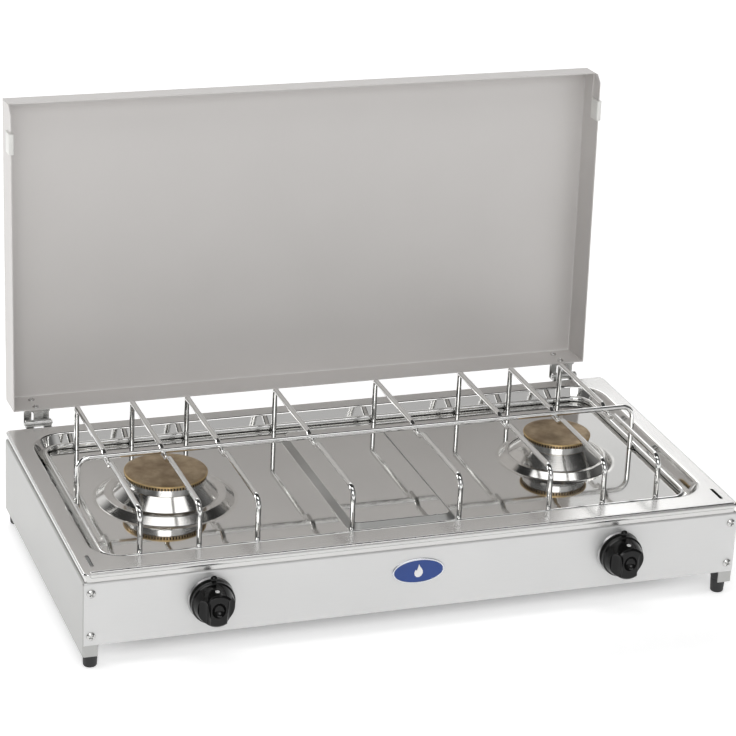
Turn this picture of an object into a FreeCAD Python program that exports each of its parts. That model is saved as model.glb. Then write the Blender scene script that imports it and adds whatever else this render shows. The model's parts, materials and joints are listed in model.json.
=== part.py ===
"""Two-burner camping stove with a hinged lid, built as separate pieces.

Millimetres, +Z up.  The origin is on the surface that the stove stands on, under the middle of its
overall length, width and depth with the lid open.  Pieces are drawn about the middle of the casing
and then moved back by case_shift, so that the open lid and the knobs are inside an even box, and up
by case_lift.
"""
import FreeCAD
import Part
import math
import os
import re

import Sketcher

doc = FreeCAD.newDocument("camping_stove")
sheet = doc.addObject("Spreadsheet::Sheet", "dims")

DIMENSIONS = {
    # casing
    "case_width": 500, "case_depth": 256, "case_shift": -17.39, "case_lift": 2, "metal": 0.8,
    "panel_bottom": 17, "panel_top": 66, "panel_flange": 10, "corner_notch": 18, "leg_bottom": 8.5, "leg_width": 11,
    "tab_level": 20.2,
    # hob tray
    "rim_top": 73, "floor_top": 63, "well_half": 230, "well_front": -99, "well_back": 109,
    "well_slope": 31, "well_corner": 20, "skirt_inset": 1.5, "bead_radius": 2.6, "bead_half": 245,
    "slot_place": 241, "slot_middle": -107.5, "slot_length": 18, "slot_width": 2.6,
    "island_half": 42.5, "island_front": -87, "island_back": 91, "island_rise": 5,
    "island_slope": 43, "island_corner": 10,
    # burners
    "burner_place": 156.3, "burner_back": 3, "gas_level": 44, "boss_rise": 5, "throat_rise": 13.5,
    "left_boss": 51.5, "left_flank": 45, "left_ring": 39.5, "left_throat": 28,
    "left_cup": 29.5, "left_cap": 31,
    "right_boss": 44, "right_flank": 39, "right_ring": 36.8, "right_throat": 23,
    "right_cup": 24.5, "right_cap": 26,
    "cup_bottom": 34, "cup_top": 81.3, "cup_wall": 2.2, "cap_top": 85.5, "cap_disc": 2.2,
    "cap_spigot": 5.5, "port_width": 1.5, "tube_radius": 8, "tube_bore": 6.3, "tube_mouth": -97,
    # wire grate
    "rod": 2, "grate_gap": 0.3, "hoop_top": 98.5, "hoop_front": -88.5, "hoop_back": 102.5,
    "hoop_inner": 41.5, "hoop_pitch": 43.5, "notch_middle": 5.5, "notch_half": 6, "notch_run": 6,
    "long_hoop_back": 8,
    "weld": 0.1, "frame_corner": 14, "long_corner": 9,
    # lid
    "lid_half": 239.5, "lid_length": 242.6, "lid_height": 33.8, "lid_side": 30, "lid_front": 19.4,
    "lid_back": 9.4, "lid_chamfer": 6, "lid_tilt": 2.3, "clip_length": 16, "clip_depth": 11,
    "clip_wall": 1.5, "clip_place": 223.5,
    # hinges
    "hinge_place": 221, "hinge_back": 140.5, "hinge_level": 71, "hinge_half": 10,
    "barrel": 3, "pin_radius": 1.5, "pin_gap": 0.05, "leaf": 1.4, "lid_barrel_half": 3.7,
    "body_barrel_start": 4, "stop_back": 148.4,
    "hinge_screw_low": 9, "hinge_screw_high": 24.5,
    # knobs and taps
    "knob_middle": -2.1, "knob_spread": 156.3, "knob_radius": 16, "knob_skirt": 3.2, "knob_depth": 17,
    "knob_face": 11.4, "knob_gap": 4.6, "nub_radius": 2.6, "grip_half": 2.2, "scoop_depth": 6,
    "collar_radius": 16.8, "collar_depth": 0.9, "stem_radius": 3, "stem_hole": 4.2,
    "tap_radius": 8, "tap_bore": 5, "tap_front": -126, "tap_back": -108, "plug_front": -119,
    "spring_thick": 0.5, "spring_wide": 1, "spring_coil": 4.0, "rail_level": 27, "rail_radius": 5, "rail_bore": 3.6,
    "rail_front": -113, "rail_turn": 218, "inlet_radius": 4, "inlet_length": 20,
    # small pieces
    "foot_x": 242.8, "foot_y": 119.5, "foot_top": 6.2, "foot_bottom": 4.9, "stud": 2.5,
    "screw_x": 244.4, "screw_high": 58, "screw_low": 25, "screw_head": 3.2, "screw_shank": 1.5,
    "badge_long": 20, "badge_short": 10, "badge_x": -3.4, "badge_z": 47.5, "badge_thick": 0.9,
}

for row, (alias, number) in enumerate(DIMENSIONS.items(), start=1):
    sheet.set(f"A{row}", alias)
    sheet.set(f"B{row}", str(number))
    sheet.setAlias(f"B{row}", alias)
doc.recompute()

PIECES = []


# ---------------------------------------------------------------- helpers

def formula(text):
    """Write dimension names as cells of the sheet."""
    def cell(match):
        word = match.group(0)
        return f"dims.{word}" if word in DIMENSIONS else word
    return re.sub(r"[A-Za-z_]\w*", cell, str(text))


def value(text):
    """Work a formula out as a plain number."""
    answer = sheet.evalExpression(formula(text))
    return float(getattr(answer, "Value", answer))


def bind(thing, prop, text):
    """Tie one property of an object to a formula."""
    thing.setExpression(prop, formula(text))


def primitive(kind, name, **sizes):
    """Make a Part primitive whose sizes follow the sheet."""
    solid = doc.addObject(f"Part::{kind}", name)
    for prop, text in sizes.items():
        bind(solid, prop, text)
    return solid


def place(thing, x="0", y="0", z="0", axis=(0, 0, 1), angle=0):
    """Turn an object and put it where three formulas say."""
    thing.Placement = FreeCAD.Placement(FreeCAD.Vector(0, 0, 0), FreeCAD.Rotation(FreeCAD.Vector(*axis), angle))
    for letter, text in zip("xyz", (x, y, z)):
        bind(thing, f"Placement.Base.{letter}", text)
    return thing


def box(name, low, high):
    """Make a box between two corners given as formulas."""
    solid = primitive("Box", name)
    for prop, start, end in zip(("Length", "Width", "Height"), low, high):
        bind(solid, prop, f"({end}) - ({start})")
    return place(solid, *low)


def cylinder(name, radius, length, at, direction="z"):
    """Make a cylinder that starts at a point and runs along one axis."""
    turns = {"z": ((0, 0, 1), 0), "x": ((0, 1, 0), 90), "y": ((1, 0, 0), -90)}
    solid = primitive("Cylinder", name, Radius=radius, Height=length)
    return place(solid, *at, *turns[direction])


def fuse(name, *solids):
    joined = doc.addObject("Part::MultiFuse", name)
    joined.Shapes = list(solids)
    return joined


def cut(name, base, *tools):
    tool = tools[0] if len(tools) == 1 else fuse(name + "_tools", *tools)
    result = doc.addObject("Part::Cut", name)
    result.Base = base
    result.Tool = tool
    return result


def common(name, *solids):
    shared = doc.addObject("Part::MultiCommon", name)
    shared.Shapes = list(solids)
    return shared


def keep(piece, label, x="0", y="case_shift", z="0", axis=(0, 0, 1), angle=0):
    """Name a finished piece and move it from the casing's middle to its place on its feet."""
    piece.Label = label
    place(piece, x, y, f"({z}) + case_lift", axis, angle)
    PIECES.append(piece)
    return piece


def new_body(name):
    return doc.addObject("PartDesign::Body", name)


def new_sketch(body, name, plane="XY_Plane", offset="0", shift_x="0", shift_y="0"):
    """Start a sketch on one of the body's own planes; shifts move its origin within the plane."""
    sketch = body.newObject("Sketcher::SketchObject", name)
    support = next(f for f in body.Origin.OriginFeatures if f.Role == plane)
    sketch.AttachmentSupport = (support, "")
    sketch.MapMode = "FlatFace"
    bind(sketch, "AttachmentOffset.Base.x", shift_x)
    bind(sketch, "AttachmentOffset.Base.y", shift_y)
    bind(sketch, "AttachmentOffset.Base.z", offset)
    return sketch


def tie(sketch, edge, point, x, y):
    """Hold one point of a sketch at a distance from its origin along both axes."""
    for kind, text, axis in (("DistanceX", x, -2), ("DistanceY", y, -1)):
        number = value(text)
        if abs(number) < 1e-9:
            sketch.addConstraint(Sketcher.Constraint("PointOnObject", edge, point, axis))
        else:
            index = sketch.addConstraint(Sketcher.Constraint(kind, -1, 1, edge, point, number))
            bind(sketch, f"Constraints[{index}]", text)


def outline(sketch, points):
    """Draw a closed outline with straight sides through points given as formulas."""
    corners = [FreeCAD.Vector(value(x), value(y), 0) for x, y in points]
    first = sketch.GeometryCount
    for start, end in zip(corners, corners[1:] + corners[:1]):
        sketch.addGeometry(Part.LineSegment(start, end), False)
    for step, (x, y) in enumerate(points):
        following = first + (step + 1) % len(points)
        sketch.addConstraint(Sketcher.Constraint("Coincident", first + step, 2, following, 1))
        tie(sketch, first + step, 1, x, y)
    return sketch


def rectangle(sketch, x0, y0, x1, y1):
    return outline(sketch, [(x0, y0), (x1, y0), (x1, y1), (x0, y1)])


def circle(sketch, x, y, radius):
    centre = FreeCAD.Vector(value(x), value(y), 0)
    edge = sketch.addGeometry(Part.Circle(centre, FreeCAD.Vector(0, 0, 1), value(radius)), False)
    tie(sketch, edge, 3, x, y)
    index = sketch.addConstraint(Sketcher.Constraint("Radius", edge, value(radius)))
    bind(sketch, f"Constraints[{index}]", radius)
    return sketch


def rounded_rectangle(sketch, x0, y0, x1, y1, radius):
    """Draw a rectangle with equal round corners, each corner's centre held in place."""
    low_x, low_y, high_x, high_y, r = (value(text) for text in (x0, y0, x1, y1, radius))
    centres = [(f"({x0}) + ({radius})", f"({y0}) + ({radius})", 180),
               (f"({x1}) - ({radius})", f"({y0}) + ({radius})", 270),
               (f"({x1}) - ({radius})", f"({y1}) - ({radius})", 0),
               (f"({x0}) + ({radius})", f"({y1}) - ({radius})", 90)]
    sides = [((low_x + r, low_y), (high_x - r, low_y)), ((high_x, low_y + r), (high_x, high_y - r)),
             ((high_x - r, high_y), (low_x + r, high_y)), ((low_x, high_y - r), (low_x, low_y + r))]
    arcs = []
    lines = []
    for (x, y, start), (begin, end) in zip(centres, sides):
        ring = Part.Circle(FreeCAD.Vector(value(x), value(y), 0), FreeCAD.Vector(0, 0, 1), r)
        arc = Part.ArcOfCircle(ring, math.radians(start), math.radians(start + 90))
        arcs.append(sketch.addGeometry(arc, False))
        lines.append(sketch.addGeometry(Part.LineSegment(FreeCAD.Vector(*begin, 0), FreeCAD.Vector(*end, 0)), False))
    for corner in range(4):
        sketch.addConstraint(Sketcher.Constraint("Tangent", arcs[corner], 2, lines[corner], 1))
        sketch.addConstraint(Sketcher.Constraint("Tangent", lines[corner], 2, arcs[(corner + 1) % 4], 1))
        tie(sketch, arcs[corner], 3, centres[corner][0], centres[corner][1])
    index = sketch.addConstraint(Sketcher.Constraint("Radius", arcs[0], r))
    bind(sketch, f"Constraints[{index}]", radius)
    return sketch


def feature(kind, sketch, **sizes):
    """Add a sketch-based PartDesign feature with sizes that follow the sheet."""
    body = sketch.getParentGeoFeatureGroup()
    made = body.newObject(f"PartDesign::{kind}", f"{sketch.Name}_{kind.lower()}")
    made.Profile = sketch
    for prop, text in sizes.items():
        bind(made, prop, text)
    return made


def pad(sketch, length, up=True, middle=False, taper="0"):
    made = feature("Pad", sketch, Length=length, TaperAngle=taper)
    made.Reversed = not up
    made.Midplane = middle
    return made


def pocket(sketch, length, up=True, middle=False, taper="0"):
    made = feature("Pocket", sketch, Length=length, TaperAngle=taper)
    made.Reversed = up
    made.Midplane = middle
    return made


def turned(kind, sketch, axis="V_Axis"):
    made = feature(kind, sketch)
    made.ReferenceAxis = (sketch, [axis])
    made.Angle = 360
    return made


def bent_rod(points, bend, radius, closed=False):
    """Sweep a round rod along straight runs joined by tangent arcs."""
    vectors = [FreeCAD.Vector(*point) for point in points]
    last = len(vectors) - 1
    bends = dict.fromkeys(range(len(vectors)) if closed else range(1, last), bend)
    if not isinstance(bend, (int, float)):
        bends = {step + 1: size for step, size in enumerate(bend)}
    starts, ends, arcs = {}, {}, {}
    for step, vector in enumerate(vectors):
        if step not in bends:
            starts[step] = ends[step] = vector
            continue
        before = (vector - vectors[step - 1]).normalize()
        after = (vectors[(step + 1) % len(vectors)] - vector).normalize()
        half_turn = before.getAngle(after) / 2
        reach = bends[step] * math.tan(half_turn)
        inward = (after - before).normalize()
        starts[step] = vector - before * reach
        ends[step] = vector + after * reach
        middle = vector + inward * (bends[step] / math.cos(half_turn) - bends[step])
        arcs[step] = Part.Arc(starts[step], middle, ends[step]).toShape()
    edges = []
    for step in range(len(vectors) if closed else last):
        following = (step + 1) % len(vectors)
        edges.append(Part.LineSegment(ends[step], starts[following]).toShape())
        if following in arcs:
            edges.append(arcs[following])
    direction = edges[0].Vertexes[1].Point - edges[0].Vertexes[0].Point
    section = Part.Wire(Part.Circle(edges[0].Vertexes[0].Point, direction, radius).toShape())
    return Part.Wire(edges).makePipeShell([section], True, False)


def shaped(name, shape):
    """Hold a shape that primitives and sketches don't fit."""
    piece = doc.addObject("Part::Feature", name)
    piece.Shape = shape
    return piece


# ---------------------------------------------------------------- casing

def make_cross_panel(label, front):
    """Front or back panel: a web with its top and bottom edges folded inward."""
    face = "-case_depth / 2" if front else "case_depth / 2"
    side = "" if front else "-"
    inner = f"{face} + ({side}metal)"
    lip = f"{face} + ({side}panel_flange)"
    body = new_body(label)
    section = new_sketch(body, label + "_section", "YZ_Plane")
    outline(section, [(face, "panel_bottom"), (lip, "panel_bottom"), (lip, "panel_bottom + metal"),
                      (inner, "panel_bottom + metal"), (inner, "panel_top - metal"),
                      (lip, "panel_top - metal"), (lip, "panel_top"), (face, "panel_top")])
    pad(section, "case_width", middle=True)
    corners = new_sketch(body, label + "_corners", "XY_Plane", offset="panel_bottom")
    for way in ("-", ""):
        rectangle(corners, f"{way}(case_width / 2 - corner_notch)", inner,
                  f"{way}(case_width / 2 + 1)", f"{face} + ({side}(panel_flange + 1))")
    pocket(corners, "panel_top - panel_bottom")
    holes = new_sketch(body, label + "_holes", "XZ_Plane", offset=f"-({face})")
    for x in ("-screw_x", "screw_x"):
        for z in ("screw_low", "screw_high"):
            circle(holes, x, z, "screw_shank + 0.1")
    if front:
        for x in ("knob_middle - knob_spread", "knob_middle + knob_spread"):
            circle(holes, x, "gas_level", "stem_hole")
    else:
        circle(holes, "rail_turn", "rail_level", "rail_radius + 1.5")
    pocket(holes, "4 * metal", middle=True)
    keep(body, label)


def make_side_panel(label, sign):
    """Side panel: web, top flange, and front and back flanges that run down into legs."""
    outer = f"{sign} * case_width / 2"
    inner = f"{sign} * (case_width / 2 - metal)"
    lip = f"{sign} * (case_width / 2 - leg_width)"
    body = new_body(label)
    for end, turn in (("front", "-"), ("back", "")):
        near = f"{turn}(case_depth / 2 - metal)"
        far = f"{turn}(case_depth / 2 - 2 * metal)"
        foot = f"{turn}(case_depth / 2 - 17)"
        leg = new_sketch(body, f"{label}_{end}_leg", "XY_Plane", offset="leg_bottom")
        rectangle(leg, outer, near, lip, far)
        pad(leg, "panel_top - 2 * metal - leg_bottom")
        tab = new_sketch(body, f"{label}_{end}_tab", "XY_Plane", offset="tab_level")
        rectangle(tab, outer, near, f"{sign} * (case_width / 2 - 16)", foot)
        pad(tab, "metal")
        if end == "front":
            web = new_sketch(body, label + "_web", "XY_Plane", offset="leg_bottom")
            rectangle(web, outer, "-(case_depth / 2 - metal)", inner, "case_depth / 2 - metal")
            pad(web, "panel_top - leg_bottom")
    top = new_sketch(body, label + "_top", "XY_Plane", offset="panel_top - metal")
    rectangle(top, outer, "-(case_depth / 2 - panel_flange)", f"{sign} * (case_width / 2 - panel_flange)",
              "case_depth / 2 - panel_flange")
    pad(top, "metal")
    screws = new_sketch(body, label + "_screw_holes", "XZ_Plane")
    for z in ("screw_low", "screw_high"):
        circle(screws, f"{sign} * screw_x", z, "screw_shank + 0.1")
    pocket(screws, "case_depth", middle=True)
    studs = new_sketch(body, label + "_stud_holes", "XY_Plane", offset="tab_level")
    for y in ("-foot_y", "foot_y"):
        circle(studs, f"{sign} * foot_x", y, "stud")
    pocket(studs, "4 * metal", middle=True)
    keep(body, label)


def make_feet():
    """Rubber feet, each pushed up through the tab at the bottom of a leg."""
    for end, y in (("front", "-foot_y"), ("back", "foot_y")):
        for side, x in (("left", "-foot_x"), ("right", "foot_x")):
            label = f"foot_{end}_{side}"
            body = new_body(label)
            section = new_sketch(body, label + "_section", "XZ_Plane")
            outline(section, [("0", "-case_lift"), ("foot_bottom - 1.2", "-case_lift"),
                              ("foot_bottom", "1.2 - case_lift"),
                              ("foot_top", "tab_level"), ("stud", "tab_level"), ("stud", "tab_level + metal"),
                              ("stud + 0.8", "tab_level + metal"), ("stud - 0.8", "tab_level + 4"),
                              ("0", "tab_level + 4")])
            turned("Revolution", section)
            keep(body, label, x, f"{y} + case_shift")


def make_screws(label, spots, head, shank, length):
    """A group of equal pan-head fasteners; each spot is a point and the way the head faces."""
    solids = []
    for number, (at, facing) in enumerate(spots):
        axis, turn = {"-y": ((1, 0, 0), 90), "y": ((1, 0, 0), -90),
                      "-z": ((1, 0, 0), 180), "z": ((0, 0, 1), 0)}[facing]
        dome = primitive("Sphere", f"{label}_dome_{number}", Radius=head)
        dome.Angle1 = 0
        flat = primitive("Cylinder", f"{label}_flat_{number}", Radius=head, Height=f"{head} * 0.55")
        cap = common(f"{label}_head_{number}", dome, flat)
        stem = primitive("Cylinder", f"{label}_stem_{number}", Radius=shank, Height=length)
        place(stem, z=f"-({length})")
        screw = fuse(f"{label}_{number}", cap, stem)
        place(screw, *at, axis, turn)
        solids.append(screw)
    group = doc.addObject("Part::Compound", label)
    group.Links = solids
    keep(group, label)


def make_panel_screws():
    spots = []
    for y, facing in (("-case_depth / 2", "-y"), ("case_depth / 2", "y")):
        for x in ("-screw_x", "screw_x"):
            for z in ("screw_low", "screw_high"):
                spots.append(((x, y, z), facing))
    make_screws("panel_screws", spots, "screw_head", "screw_shank", "4")


def make_badge():
    """Plain oval badge on the front panel."""
    oval = primitive("Ellipse", "badge_oval", MajorRadius="badge_long", MinorRadius="badge_short")
    plate = doc.addObject("Part::Extrusion", "badge")
    plate.Base = oval
    plate.DirMode = "Custom"
    plate.Dir = FreeCAD.Vector(0, 0, 1)
    plate.Solid = True
    bind(plate, "LengthFwd", "badge_thick")
    keep(plate, "badge", "badge_x", "-case_depth / 2 + case_shift", "badge_z", (1, 0, 0), 90)


# ---------------------------------------------------------------- hob tray

def boss_outline(side, drop):
    """Half section of a pressed burner boss, or with drop of the hollow under it."""
    thick = "metal" if drop else "0"
    return [("0", f"floor_top - 2 * {drop} - metal"),
            (f"{side}_boss - {thick} * 1.6", f"floor_top - 2 * {drop} - metal"),
            (f"{side}_boss - {thick} * 1.6", f"floor_top - {thick}"),
            (f"{side}_flank - {thick}", f"floor_top + boss_rise - {thick}"),
            (f"{side}_ring - {thick}", f"floor_top + boss_rise - {thick}"),
            (f"{side}_cup - {thick}", f"floor_top + throat_rise - {thick}"),
            ("0", f"floor_top + throat_rise - {thick}")]


def make_hob_tray():
    """Pressed tray: rim with a rolled front edge, sloped well, middle island and two burner bosses."""
    body = new_body("hob_pressing")
    rim = new_sketch(body, "rim", offset="rim_top")
    rectangle(rim, "-case_width / 2", "-case_depth / 2", "case_width / 2", "case_depth / 2")
    pad(rim, "metal", up=False)

    grow = "metal * 1.2"
    pan = new_sketch(body, "pan", offset="floor_top - metal")
    rounded_rectangle(pan, f"-well_half - {grow}", f"well_front - {grow}", f"well_half + {grow}",
                      f"well_back + {grow}", f"well_corner + {grow}")
    pad(pan, "rim_top - floor_top", taper="well_slope")
    well = new_sketch(body, "well", offset="floor_top")
    rounded_rectangle(well, "-well_half", "well_front", "well_half", "well_back", "well_corner")
    pocket(well, "rim_top - floor_top + 0.5", taper="well_slope")

    island = new_sketch(body, "island", offset="floor_top - metal / 2")
    rounded_rectangle(island, "-island_half", "island_front", "island_half", "island_back", "island_corner")
    pad(island, "island_rise + metal / 2", taper="-island_slope")
    under = new_sketch(body, "under_island", offset="floor_top - metal")
    rounded_rectangle(under, "-island_half + metal", "island_front + metal", "island_half - metal",
                      "island_back - metal", "island_corner - metal")
    pocket(under, "island_rise", taper="-island_slope")

    for side, x in (("left", "-burner_place"), ("right", "burner_place")):
        boss = new_sketch(body, side + "_boss_section", "XZ_Plane", offset="-burner_back", shift_x=x)
        outline(boss, boss_outline(side, 0))
        turned("Revolution", boss)
        hollow = new_sketch(body, side + "_hollow_section", "XZ_Plane", offset="-burner_back", shift_x=x)
        outline(hollow, boss_outline(side, 1))
        turned("Groove", hollow)
        throat = new_sketch(body, side + "_throat", offset="floor_top + throat_rise - 4")
        circle(throat, x, "burner_back", f"{side}_throat + 0.2")
        pocket(throat, "8")

    slots = new_sketch(body, "slots", offset="rim_top")
    for x in ("-slot_place", "slot_place"):
        rectangle(slots, f"{x} - slot_width / 2", "slot_middle - slot_length / 2",
                  f"{x} + slot_width / 2", "slot_middle + slot_length / 2")
    pocket(slots, "4 * metal", middle=True)

    skirt = new_sketch(body, "skirt", offset="panel_top")
    half_x = "(case_width / 2 - skirt_inset)"
    half_y = "(case_depth / 2 - skirt_inset)"
    rectangle(skirt, f"-{half_x}", f"-{half_y}", half_x, half_y)
    rectangle(skirt, f"-{half_x} + metal", f"-{half_y} + metal", f"{half_x} - metal", f"{half_y} - metal")
    pad(skirt, "rim_top - panel_top - metal / 2")

    bead = new_sketch(body, "bead", "YZ_Plane")
    circle(bead, "-case_depth / 2", "rim_top - metal / 2", "bead_radius")
    pad(bead, "2 * bead_half", middle=True)
    split_hob_tray(body)


def split_hob_tray(pressing):
    """Part the pressing into rim and walls, floor with island, and the two bosses."""
    region = new_body("floor_region")
    inside = new_sketch(region, "inside_walls", offset="floor_top - 3")
    rounded_rectangle(inside, "1 - well_half", "well_front + 1", "well_half - 1", "well_back - 1", "well_corner - 1")
    pad(inside, "20")
    keep(cut("rim_and_walls", pressing, region), "hob_tray")

    columns = []
    for side, x in (("left", "-burner_place"), ("right", "burner_place")):
        column = cylinder(side + "_boss_column", f"{side}_boss + 1", "20", (x, "burner_back", "floor_top - 3"))
        boss = common(side + "_boss_shell", pressing, column)
        keep(boss, "hob_boss_" + side)
        columns.append(column)
    keep(cut("floor_and_island", common("inside_sheet", pressing, region), *columns), "hob_floor")


# ---------------------------------------------------------------- burners

def make_burner(side, x):
    """Aluminium cup with its mixing tube, a locking ring under the tray, and a brass cap on top."""
    cup, cap, throat = f"{side}_cup", f"{side}_cap", f"{side}_throat"
    body = new_body("burner_cup_" + side)
    section = new_sketch(body, side + "_cup_section", "XZ_Plane", offset="-burner_back")
    outline(section, [("0", "cup_bottom"), (f"{throat} * 0.55", "cup_bottom"),
                      (throat, "floor_top - 2"), (throat, "floor_top + throat_rise"),
                      (cup, "floor_top + throat_rise"), (cup, "cup_top"), ("0", "cup_top")])
    turned("Revolution", section)
    tube = new_sketch(body, side + "_mixing_tube", "XZ_Plane", offset="-tube_mouth")
    circle(tube, "knob_middle", "gas_level", "tube_radius")
    pad(tube, "burner_back - tube_mouth", up=False)
    bore = new_sketch(body, side + "_tube_bore", "XZ_Plane", offset="-tube_mouth")
    circle(bore, "knob_middle", "gas_level", "tube_bore")
    pocket(bore, "burner_back - tube_mouth")
    hollow = new_sketch(body, side + "_cup_hollow", "XZ_Plane", offset="-burner_back")
    outline(hollow, [("0", "cup_bottom + cup_wall"), (f"{throat} * 0.55 - cup_wall", "cup_bottom + cup_wall"),
                     (f"{throat} - cup_wall", "floor_top - 1"), (f"{throat} - cup_wall", "cup_top"),
                     ("0", "cup_top")])
    turned("Groove", hollow)
    keep(body, "burner_cup_" + side, x)

    ring = cut("burner_lock_ring_" + side,
               cylinder(side + "_ring_outside", f"{throat} + 4", "3", (x, "burner_back", "floor_top + 6")),
               cylinder(side + "_ring_inside", throat, "3", (x, "burner_back", "floor_top + 6")))
    keep(ring, "burner_lock_ring_" + side)

    top = new_body("burner_cap_" + side)
    disc = new_sketch(top, side + "_cap_section", "XZ_Plane", offset="-burner_back")
    outline(disc, [("0", "cap_top - cap_disc"), (f"{throat} - cup_wall - 2.5", "cap_top - cap_disc"),
                   (f"{throat} - cup_wall - 2.5", "cup_top - cap_spigot"),
                   (f"{throat} - cup_wall - 0.3", "cup_top - cap_spigot"),
                   (f"{throat} - cup_wall - 0.3", "cup_top"), (f"{cup} - 0.5", "cup_top"),
                   (f"{cap} - 1.2", "cap_top - cap_disc"), (f"{cap} - 0.2", "cap_top - cap_disc + 0.2"),
                   (cap, "cap_top - 0.9"), (f"{cap} - 0.8", "cap_top - 0.2"),
                   (f"{cap} - 4", "cap_top"), ("0", "cap_top")])
    turned("Revolution", disc)
    port = new_sketch(top, side + "_port", "XZ_Plane", offset="-burner_back")
    rectangle(port, "-port_width / 2", "cup_top + 0.1", "port_width / 2", "cap_top - cap_disc + 0.1")
    first = pocket(port, f"{cap} + 1", up=True)
    first.Reversed = False
    ring_of_ports = top.newObject("PartDesign::PolarPattern", side + "_ports")
    ring_of_ports.Originals = [first]
    upright = next(f for f in top.Origin.OriginFeatures if f.Role == "Z_Axis")
    ring_of_ports.Axis = (upright, [""])
    ring_of_ports.Angle = 360
    ring_of_ports.Occurrences = 44 if side == "left" else 36
    top.Tip = ring_of_ports
    keep(top, "burner_cap_" + side, x)


# ---------------------------------------------------------------- wire grate

def make_grate():
    """Chrome wire grate: floor frame, eight cross hoops and one long hoop in their notches."""
    rod, weld, top = value("rod"), value("weld"), value("hoop_top")
    foot = value("floor_top + grate_gap")
    front, back = value("hoop_front"), value("hoop_back")
    beside = 2 * rod - weld
    inner, pitch, centre = value("hoop_inner"), value("hoop_pitch"), value("burner_place")
    side = centre + pitch + rod * 11

    level = foot + rod
    low_y, high_y = front - beside, back + beside
    around = [(-side - beside, low_y, level), (side + beside, low_y, level),
              (side + beside, high_y, level), (-side - beside, high_y, level)]
    keep(shaped("grate_frame", bent_rod(around, value("frame_corner"), rod, closed=True)), "grate_frame")

    near = value("notch_middle - notch_half")
    far = value("notch_middle + notch_half")
    run, dip = value("notch_run"), beside
    places = [-centre - pitch, -centre, -centre + pitch, -inner, inner, centre - pitch, centre, centre + pitch]
    for number, x in enumerate(places, start=1):
        path = [(x, back, foot), (x, back, top), (x, far + run, top), (x, far, top - dip),
                (x, near, top - dip), (x, near - run, top), (x, front, top), (x, front, foot)]
        hoop = shaped(f"grate_hoop_{number}", bent_rod(path, [3.2, 4, 2.6, 2.6, 4, 7.5], rod))
        keep(hoop, f"grate_hoop_{number}")

    middle = value("long_hoop_back")
    path = [(-side, middle, foot), (-side, middle, top), (side, middle, top), (side, middle, foot)]
    keep(shaped("grate_long_hoop", bent_rod(path, value("long_corner"), rod)), "grate_long_hoop")


# ---------------------------------------------------------------- lid and hinges

def keep_on_lid(piece, label, x="0"):
    """Put a piece that was drawn about the hinge line with the lid shut into its open place."""
    keep(piece, label, x, "hinge_back + case_shift", "hinge_level", (1, 0, 0), -90 - value("lid_tilt"))


def make_lid_shell():
    """Shallow box of folded sheet, drawn shut, with its origin on the hinge line."""
    rear, front = "-lid_back", "-lid_back - lid_length"
    low, high = "lid_height - lid_side", "lid_height"
    body = new_body("lid_shell")
    side_view = new_sketch(body, "lid_side_view", "YZ_Plane")
    outline(side_view, [(rear, low), (rear, high), (front, high), (front, f"{low} + lid_chamfer"),
                        (f"{front} + lid_chamfer", low)])
    pad(side_view, "2 * lid_half", middle=True)
    hollow = new_sketch(body, "lid_hollow", offset=low)
    rectangle(hollow, "-lid_half + metal", f"{front} + metal", "lid_half - metal", f"{rear} - metal")
    pocket(hollow, "lid_side - metal")
    lift_gap = new_sketch(body, "lid_lift_gap", offset=low)
    rectangle(lift_gap, "-lid_half + metal", f"{front} - 1", "lid_half - metal", f"{front} + 2")
    pocket(lift_gap, "lid_side - lid_front")
    keep_on_lid(body, "lid_shell")


def make_lid_clip(label, sign):
    """Plastic clip pushed over the free edge of a side flange; the shut lid rests on it."""
    low = "lid_height - lid_side - clip_wall"
    start, end = "-clip_place - clip_length / 2", "-clip_place + clip_length / 2"
    outer = box(label + "_outside", ("-clip_wall", start, low),
                ("metal + clip_wall", end, "lid_height - lid_side + clip_depth"))
    slot = box(label + "_slot", ("0", f"{start} - 1", "lid_height - lid_side"),
               ("metal", f"{end} + 1", "lid_height - lid_side + clip_depth + 1"))
    clip = cut(label, outer, slot)
    keep_on_lid(clip, label, "lid_half - metal" if sign > 0 else "-lid_half")


def hinge_barrel(name, start, length):
    """Tube round the hinge line, bored to run on the pin."""
    tube = cylinder(name + "_tube", "barrel", length, (start, "0", "0"), "x")
    bore = cylinder(name + "_bore", "pin_radius + pin_gap", length, (start, "0", "0"), "x")
    return tube, bore


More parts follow.
